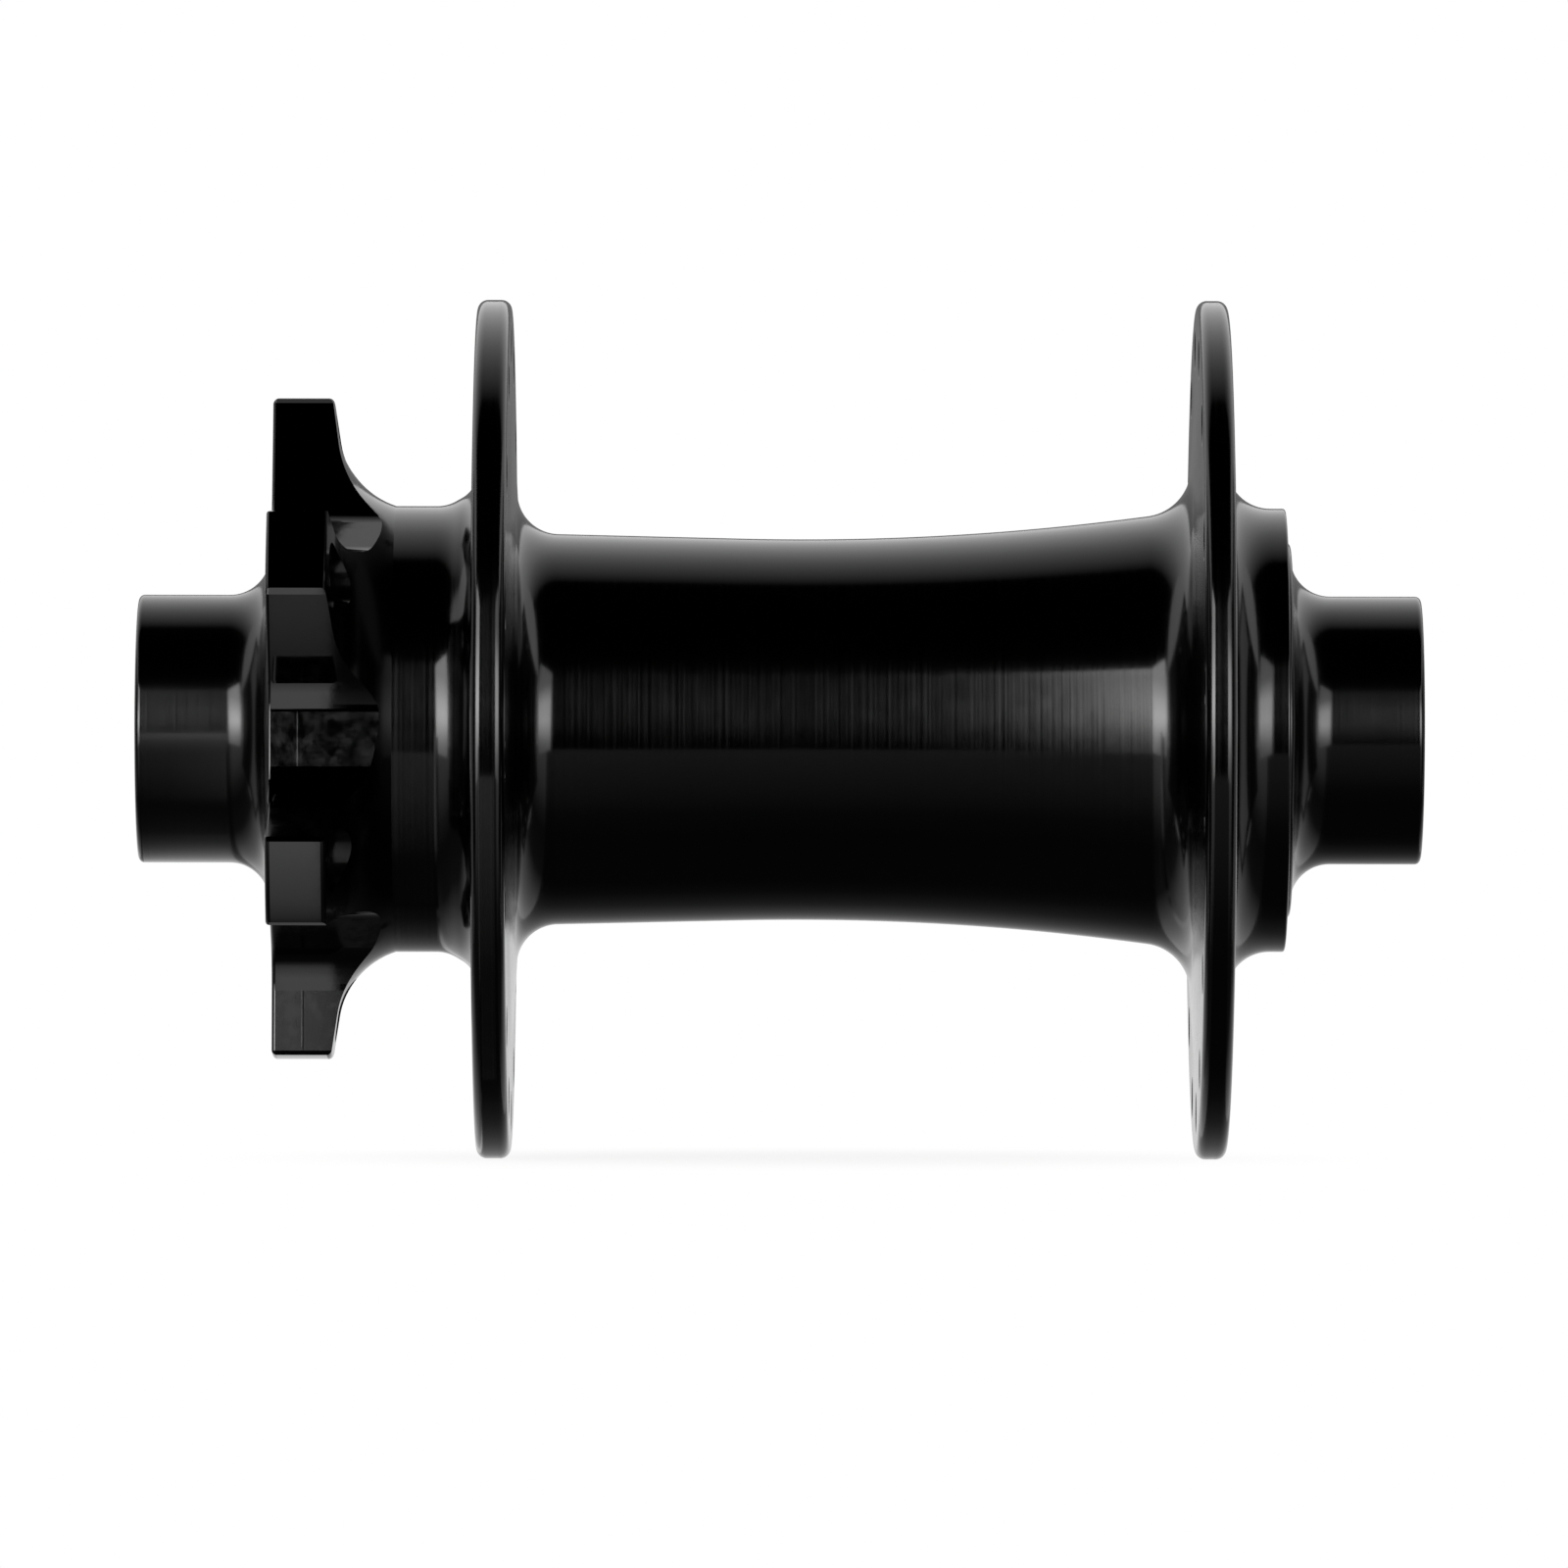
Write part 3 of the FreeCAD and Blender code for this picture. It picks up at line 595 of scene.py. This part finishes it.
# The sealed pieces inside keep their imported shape: each is a joined and smoothed copy in its own finish.
made = {"hub_shell", "axle_tube", "disc_side_end_cap", "plain_side_end_cap"}
bodyOf = {name: body for body, names in frame["record"]["behaviour"]["bodies"].items() for name in names}
for subpart in frame["record"]["subparts"]:
    name, slot = subpart["node"], subpart["material_slot"]
    if name in made:
        continue
    words = name.split("_")
    bm = bmesh.new()
    bm.from_mesh(frame["nodes"][name].data)
    bmesh.ops.remove_doubles(bm, verts=bm.verts, dist=mergeDistance)
    piece = meshObject(words[0] + "".join(word.capitalize() for word in words[1:]), bm)
    shadeSmooth(piece)
    dress(piece, bodyOf[name], slot, name)
print("inner pieces smoothed")

# The studio and the camera. Lengths are in metres, the floor's height and the sensor in mm, and the hub's
# centre in pixels of the frame.
studio = {
    "cameraDistance": 1.3, "pixelsPerMm": 13.07, "frame": 1600, "hubCentre": (795.6, 744.5), "roll": 0.092,
    "sensorWidth": 36.0, "floor": -33.5, "floorRadius": 6.0, "floorSides": 96, "floorColour": "#f2f2f0",
    "worldFill": 0.6, "shadow": 0.25, "shadowFrom": 0.015, "shadowTo": 0.06, "sheetSteps": 24,
}


# A direction from the hub: azimuth from the camera towards +Y, elevation upwards, in degrees
def direction(azimuth, elevation):
    a, e = math.radians(azimuth), math.radians(elevation)
    return Vector((-math.cos(e) * math.cos(a), math.cos(e) * math.sin(a), math.sin(e)))


# Light that varies with the tilt about the axle: stops are (degrees up from the camera, brightness).
def tiltGlow(name, stops):
    material, tree = newMaterial(name)
    axes = addNode(tree, "ShaderNodeSeparateXYZ",
                   links={0: addNode(tree, "ShaderNodeTexCoord").outputs["Object"]})
    ahead = addNode(tree, "ShaderNodeMath", {"operation": "MULTIPLY"}, {1: -1.0}, {0: axes.outputs["X"]})
    tilt = addNode(tree, "ShaderNodeMath", {"operation": "ARCTAN2"},
                   links={0: axes.outputs["Z"], 1: ahead.outputs[0]})
    low, high = stops[0][0], stops[-1][0]
    top = max(level for degrees, level in stops)
    share = addNode(tree, "ShaderNodeMapRange", {},
                    {"From Min": math.radians(low), "From Max": math.radians(high)},
                    {"Value": tilt.outputs[0]})
    ramp = addNode(tree, "ShaderNodeValToRGB", links={"Fac": share.outputs["Result"]})
    while len(ramp.color_ramp.elements) < len(stops):
        ramp.color_ramp.elements.new(0.5)
    for element, (degrees, level) in zip(ramp.color_ramp.elements, stops):
        element.position = (degrees - low) / (high - low)
        element.color = (level / top, level / top, level / top, 1)
    glow = addNode(tree, "ShaderNodeEmission", {}, {"Strength": top}, {"Color": ramp.outputs["Color"]})
    surface(tree, glow)
    return material


# Makes a mesh a light that the camera never sees.
def lightUp(name, bm, stops):
    piece = meshObject(name, bm)
    piece.data.materials.append(tiltGlow(name, stops))
    piece.visible_camera = False
    return piece


# A flat card that faces the hub
def placeCard(name, card):
    bm = bmesh.new()
    bmesh.ops.create_grid(bm, x_segments=1, y_segments=1, size=0.5)
    aim = direction(card["azimuth"], card["elevation"])
    turn = aim.to_track_quat("Z", "Y").to_matrix().to_4x4()
    bmesh.ops.transform(bm, verts=bm.verts, matrix=Matrix.Translation(aim * card["distance"]) @ turn
                        @ Matrix.Diagonal((card["width"], card["height"], 1, 1)))
    return lightUp(name, bm, card["stops"])


# A patch of a ball round the hub, between two tilts about the axle and two leans towards the rotor's end
def placeSheet(name, sheet, steps):
    bm = bmesh.new()
    lowTilt, highTilt = sheet["stops"][0][0], sheet["stops"][-1][0]
    lowLean, highLean = sheet["lean"]
    first = bm.verts.new((-sheet["radius"], 0, 0))
    leanBack = Matrix.Rotation(-math.radians(lowLean), 3, "Z")
    tiltUp = Matrix.Rotation(math.radians(lowTilt), 3, "Y")
    bmesh.ops.rotate(bm, verts=[first], cent=(0, 0, 0), matrix=leanBack)
    bmesh.ops.rotate(bm, verts=[first], cent=(0, 0, 0), matrix=tiltUp)
    bmesh.ops.spin(bm, geom=[first], cent=(0, 0, 0), axis=-(tiltUp @ Vector((0, 0, 1))), dvec=(0, 0, 0),
                   angle=math.radians(highLean - lowLean), steps=steps)
    bmesh.ops.spin(bm, geom=bm.verts[:] + bm.edges[:], cent=(0, 0, 0), axis=(0, 1, 0), dvec=(0, 0, 0),
                   angle=math.radians(highTilt - lowTilt), steps=steps)
    return lightUp(name, bm, sheet["stops"])


# Keeps a card or sheet to what the hub mirrors, and out of the light that falls on it
def onlyMirrored(piece):
    piece.visible_diffuse = False
    piece.visible_transmission = False
    piece.visible_shadow = False


# The two lamps, one on each side of the camera
softboxes = {
    "leftSoftbox": {"azimuth": 30.5, "elevation": 10.6, "distance": 1.0, "width": 0.63, "height": 0.85,
                    "stops": [(-13, 1.7), (-8, 2.4), (-3, 3.7), (4, 5.8), (8, 6.3), (14, 5.6), (20, 4.4),
                              (28, 3.0), (40, 2.9)]},
    "rightSoftbox": {"azimuth": -30.5, "elevation": 10.6, "distance": 1.0, "width": 0.63, "height": 0.85,
                     "stops": [(-13, 1.0), (-8, 1.5), (-3, 2.6), (5, 4.1), (16, 3.6), (27, 1.2), (40, 1.0)]},
}
for name, card in softboxes.items():
    placeCard(name, card)

# Near-black flags past the hub's ends, dim cards that its flat end faces mirror, and grey behind it
mirroredCards = {
    "rotorEndFlag": {"azimuth": 88, "elevation": 0, "distance": 1.2, "width": 1.56, "height": 1.3,
                     "stops": [(-180, 0.02), (180, 0.02)]},
    "plainEndFlag": {"azimuth": -88, "elevation": 0, "distance": 1.2, "width": 1.56, "height": 1.3,
                     "stops": [(-180, 0.02), (180, 0.02)]},
    "rotorEndGlow": {"azimuth": 102, "elevation": 0, "distance": 1.0, "width": 0.5, "height": 0.9,
                     "stops": [(-180, 0.45), (180, 0.45)]},
    "plainEndGlow": {"azimuth": -102, "elevation": 0, "distance": 1.0, "width": 0.5, "height": 0.9,
                     "stops": [(-180, 0.45), (180, 0.45)]},
    "greyBehind": {"azimuth": 180, "elevation": 3, "distance": 1.6, "width": 2.0, "height": 0.6,
                   "stops": [(-180, 0.2), (180, 0.2)]},
}
for name, card in mirroredCards.items():
    onlyMirrored(placeCard(name, card))

# A black canopy overhead, and the table as the hub mirrors it, painted into sheets that show only in
# reflections:
# white far behind, grey in front and darker towards the hub, with painted shade below where the hub's shadow
# falls.
# The three strips are painted reflections, so near that each shows in one part alone: the arms' flanks, the
# flange's rim or the cap.
endTablePaintedShade = [(-180, 1.0), (-150, 0.6), (-130, 0.45), (-113, 0.2), (-103, 0.06), (-73, 0.04), (-66, 0.04),
            (-52, 0.1), (-35, 0.28), (-12, 0.5)]
sheets = {
    "blackCanopy": {"radius": 1.6, "lean": (-46, 46),
                    "stops": [(-12, 0.0), (97, 0.0), (106, 0.3), (117, 0.6), (130, 0.9), (140, 1.0)]},
    # painted shade: the mirrored table goes nearly black below the hub, where its own shadow falls
    "darkTable": {"radius": 1.6, "lean": (-25, 16),
                  "stops": [(-180, 0.85), (-163, 0.34), (-148, 0.2), (-131, 0.085), (-115, 0.035),
                            (-104, 0.02), (-66, 0.02), (-52, 0.03), (-35, 0.07), (-12, 0.12)]},
    "darkTableRotorEnd": {"radius": 1.6, "lean": (16, 60), "stops": endTablePaintedShade},
    "darkTablePlainEnd": {"radius": 1.6, "lean": (-60, -25), "stops": endTablePaintedShade},
    # painted reflections of the lit table, each tuned for one part, with painted shade where the table lies
    # under the hub
    "armStrip": {"radius": 0.12, "lean": (18.2, 21.4),
                 "stops": [(-180, 1.0), (-130, 0.8), (-118, 0.3), (-111, 0.08), (-109.5, 0.1), (-107, 0.14),
                           (-103, 0.2), (-99, 0.0), (-70, 0.03), (-66, 0.1), (-63, 0.16), (-61, 0.28),
                           (-59, 0.36), (-54, 0.5), (-49, 0.58), (-39, 0.75), (-32, 0.85), (-1, 0.85)]},
    "rimStrip": {"radius": 0.12, "lean": (11.0, 12.4),
                 "stops": [(-95, 0.1), (-73, 0.1), (-58, 0.1), (-38, 0.3), (-23, 0.5), (-11, 0.6)]},
    "capStrip": {"radius": 0.12, "lean": (21.4, 27.2),
                 "stops": [(-176, 0.9), (-146, 0.65), (-129, 0.46), (-111, 0.24), (-97, 0.1), (-85, 0.065),
                           (-65, 0.03), (-50, 0.035), (-34, 0.05), (-20, 0.08), (-11, 0.3), (-4, 0.9)]},
}
for name, sheet in sheets.items():
    onlyMirrored(placeSheet(name, sheet, studio["sheetSteps"]))


# 1 for what the eye sees straight, in a mirror or through glass, and 0 for the light that falls on the hub
def seenDirectly(tree):
    path = addNode(tree, "ShaderNodeLightPath")
    seen = addNode(tree, "ShaderNodeMath", {"operation": "MAXIMUM"},
                   links={0: path.outputs["Is Camera Ray"], 1: path.outputs["Is Glossy Ray"]})
    seen = addNode(tree, "ShaderNodeMath", {"operation": "MAXIMUM"},
                   links={0: seen.outputs[0], 1: path.outputs["Is Transmission Ray"]})
    return seen.outputs[0]


# Pale laminate, as a white table: it renders white, with a soft patch of shadow under the hub.
floorMaterial, tree = newMaterial("paleFloor")
place = addNode(tree, "ShaderNodeTexCoord").outputs["Object"]
length = addNode(tree, "ShaderNodeVectorMath", {"operation": "LENGTH"}, links={0: place})
fade = addNode(tree, "ShaderNodeMapRange", {"interpolation_type": "SMOOTHSTEP"},
               {"From Min": studio["shadowFrom"], "From Max": studio["shadowTo"],
                "To Min": 1 - studio["shadow"], "To Max": 1.0},
               {"Value": length.outputs["Value"]})
white = addNode(tree, "ShaderNodeMath", {"operation": "MULTIPLY"},
                links={0: seenDirectly(tree), 1: fade.outputs["Result"]})
glow = addNode(tree, "ShaderNodeEmission", {}, {"Color": (1, 1, 1, 1), "Strength": 1.0})
matt = addNode(tree, "ShaderNodeBsdfDiffuse", {}, {"Color": linear(studio["floorColour"]), "Roughness": 0.3})
surface(tree, addNode(tree, "ShaderNodeMixShader",
                      links={0: white.outputs[0], 1: matt.outputs[0], 2: glow.outputs[0]}))
bm = bmesh.new()
bmesh.ops.create_circle(bm, cap_ends=True, radius=studio["floorRadius"], segments=studio["floorSides"])
bmesh.ops.translate(bm, verts=bm.verts, vec=(0, 0, studio["floor"] * mm))
floorPiece = meshObject("floor", bm)
floorPiece.data.materials.append(floorMaterial)
floorPiece.visible_glossy = False        # the sheets with the table's painted reflection and painted shade stand for it in reflections

world = bpy.data.worlds.new("studio")
bpy.context.scene.world = world
world.use_nodes = True
tree = world.node_tree
tree.nodes.clear()
level = addNode(tree, "ShaderNodeMapRange", {}, {"To Min": studio["worldFill"], "To Max": 1.0},
                {"Value": seenDirectly(tree)})
sky = addNode(tree, "ShaderNodeBackground", {}, {"Color": (1, 1, 1, 1)},
              {"Strength": level.outputs["Result"]})
addNode(tree, "ShaderNodeOutputWorld", links={"Surface": sky.outputs[0]})

camera = bpy.data.objects.new("camera", bpy.data.cameras.new("camera"))
bpy.context.scene.collection.objects.link(camera)
scale = studio["pixelsPerMm"]
camera.data.sensor_width = studio["sensorWidth"]
camera.data.lens = (studio["sensorWidth"] * studio["cameraDistance"] * scale) / (studio["frame"] * mm)
across, down = (pixels - studio["frame"] / 2 for pixels in studio["hubCentre"])
offset = Vector((0, across, down)) / scale * mm        # the hub stands off the frame's centre by this
camera.matrix_world = (Matrix.Translation(Vector((-studio["cameraDistance"], 0, 0)) + offset)
                       @ Matrix.Rotation(math.radians(-90), 4, "Z")
                       @ Matrix.Rotation(math.radians(90), 4, "X")
                       @ Matrix.Rotation(math.radians(studio["roll"]), 4, "Z"))
bpy.context.scene.camera = camera
bpy.context.scene.view_settings.view_transform = "Standard"
print("studio and camera placed")
